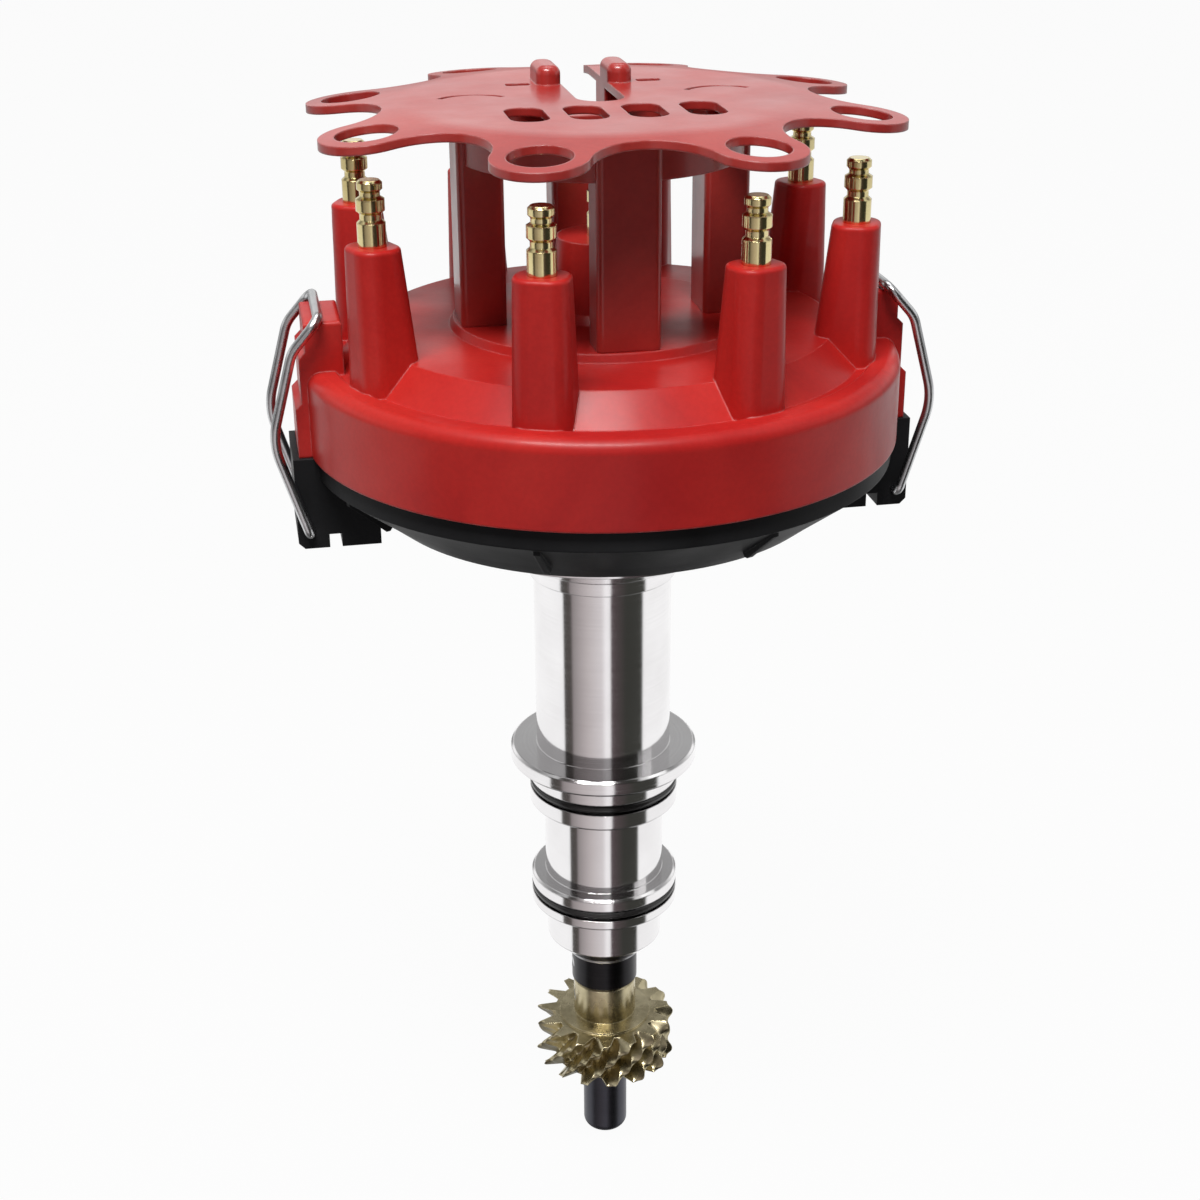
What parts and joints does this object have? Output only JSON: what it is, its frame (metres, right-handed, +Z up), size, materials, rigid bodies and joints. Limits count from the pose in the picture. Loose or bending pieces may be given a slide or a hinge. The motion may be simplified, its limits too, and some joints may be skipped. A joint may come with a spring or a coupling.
{
  "type": "ignition distributor",
  "caption": "Ignition distributor: stepped cap with plug towers under a lobed wire retainer, two wire latches, a long housing with hold-down flange and a helical drive gear.",
  "frame": {"origin": "centre of the hold-down flange's seating face, on the shaft's axis", "axes": "+Z up along the shaft towards the cap, the two latches at +X and -X, the retainer's open slot at +Y"},
  "size_m": [0.164, 0.146, 0.3006],
  "materials": {
    "cap_red": "gloss moulded",
    "retainer_red": "satin moulded",
    "base_black": "satin moulded",
    "housing_alloy": "polished billet",
    "terminal_brass": "bright turned",
    "gear_bronze": "cut, bright",
    "bushing_bronze": "sintered",
    "shaft_steel": "dark ground",
    "bright_steel": "bright",
    "collar_black": "black oxide",
    "latch_wire": "drawn wire",
    "seal_rubber": "moulded",
    "brush_carbon": "sintered carbon",
    "winding": "moulded over a winding",
    "magnet": "sintered magnet"
  },
  "bodies": {
    "housing_body": {"housing": "housing_alloy", "cap_base": "base_black", "cap": "cap_red", "wire_retainer": "retainer_red", "plug_terminal_1": "terminal_brass", "plug_terminal_2": "terminal_brass", "plug_terminal_3": "terminal_brass", "plug_terminal_4": "terminal_brass", "plug_terminal_5": "terminal_brass", "plug_terminal_6": "terminal_brass", "plug_terminal_7": "terminal_brass", "plug_terminal_8": "terminal_brass", "coil_terminal": "terminal_brass", "brush_spring": "bright_steel", "pickup_bracket": "bright_steel", "pickup_pole": "bright_steel", "pickup_coil": "winding", "pickup_magnet": "magnet", "pickup_screws": "bright_steel", "lead_grommet": "seal_rubber", "bearing_outer_race": "bright_steel", "bearing_snap_ring": "bright_steel", "lower_bushing": "bushing_bronze", "upper_seal_ring": "seal_rubber", "lower_seal_ring": "seal_rubber", "base_screws": "bright_steel", "retainer_screws": "bright_steel"},
    "shaft_body": {"main_shaft": "shaft_steel", "advance_cam": "bright_steel", "bearing_inner_race": "bright_steel", "shaft_spacer": "bright_steel", "thrust_washer": "bright_steel", "drive_collar": "collar_black", "collar_pin": "bright_steel", "drive_gear": "gear_bronze", "gear_pin": "bright_steel"},
    "bearing_body": {"bearing_balls": "bright_steel", "bearing_cage": "bright_steel"},
    "advance_body": {"advance_sleeve": "bright_steel", "advance_plate": "bright_steel", "reluctor": "bright_steel", "weight_pins": "bright_steel", "weight_clips": "bright_steel", "rotor": "cap_red", "rotor_blade": "terminal_brass", "contact_spring": "bright_steel", "rotor_posts": "bright_steel", "rotor_screws": "bright_steel", "advance_spring_front": "bright_steel", "advance_spring_rear": "bright_steel"},
    "weight_front_body": {"weight_front": "bright_steel"},
    "weight_rear_body": {"weight_rear": "bright_steel"},
    "brush_body": {"carbon_brush": "brush_carbon"},
    "latch_right_body": {"latch_right": "latch_wire"},
    "latch_left_body": {"latch_left": "latch_wire"}
  },
  "joints": [
    {"name": "shaft_spin", "type": "hinge", "parent": "housing_body", "child": "shaft_body", "pos_m": [0, 0, -0.03], "axis": [0, 0, 1], "continuous": true},
    {"name": "bearing_spin", "type": "hinge", "parent": "housing_body", "child": "bearing_body", "pos_m": [0, 0, 0.0655], "axis": [0, 0, 1], "continuous": true},
    {"name": "advance_swing", "type": "hinge", "parent": "shaft_body", "child": "advance_body", "pos_m": [0, 0, 0.0885], "axis": [0, 0, 1], "range_deg": [0, 14], "stiffness_Nm_per_rad": 0.04},
    {"name": "weight_front_swing", "type": "hinge", "parent": "advance_body", "child": "weight_front_body", "pos_m": [0.00995, -0.02402, 0.0928], "axis": [0, 0, -1], "range_deg": [0, 16.5], "deforming": ["advance_spring_front"]},
    {"name": "weight_rear_swing", "type": "hinge", "parent": "advance_body", "child": "weight_rear_body", "pos_m": [-0.00995, 0.02402, 0.0928], "axis": [0, 0, -1], "range_deg": [0, 16.5], "deforming": ["advance_spring_rear"]},
    {"name": "brush_slide", "type": "slide", "parent": "housing_body", "child": "brush_body", "axis": [0, 0, 1], "range_m": [0, 0.0015], "stiffness_N_per_m": 150, "deforming": ["brush_spring"]},
    {"name": "latch_right_swing", "type": "hinge", "parent": "housing_body", "child": "latch_right_body", "pos_m": [0.074, 0, 0.074], "axis": [0, 1, 0], "range_deg": [0, 105]},
    {"name": "latch_left_swing", "type": "hinge", "parent": "housing_body", "child": "latch_left_body", "pos_m": [-0.074, 0, 0.074], "axis": [0, -1, 0], "range_deg": [0, 105]}
  ],
  "couplings": [
    {"joint": "bearing_spin", "follows": "shaft_spin", "ratio": 0.38},
    {"joint": "weight_front_swing", "follows": "advance_swing", "ratio": 1.1429},
    {"joint": "weight_rear_swing", "follows": "advance_swing", "ratio": 1.1429}
  ]
}
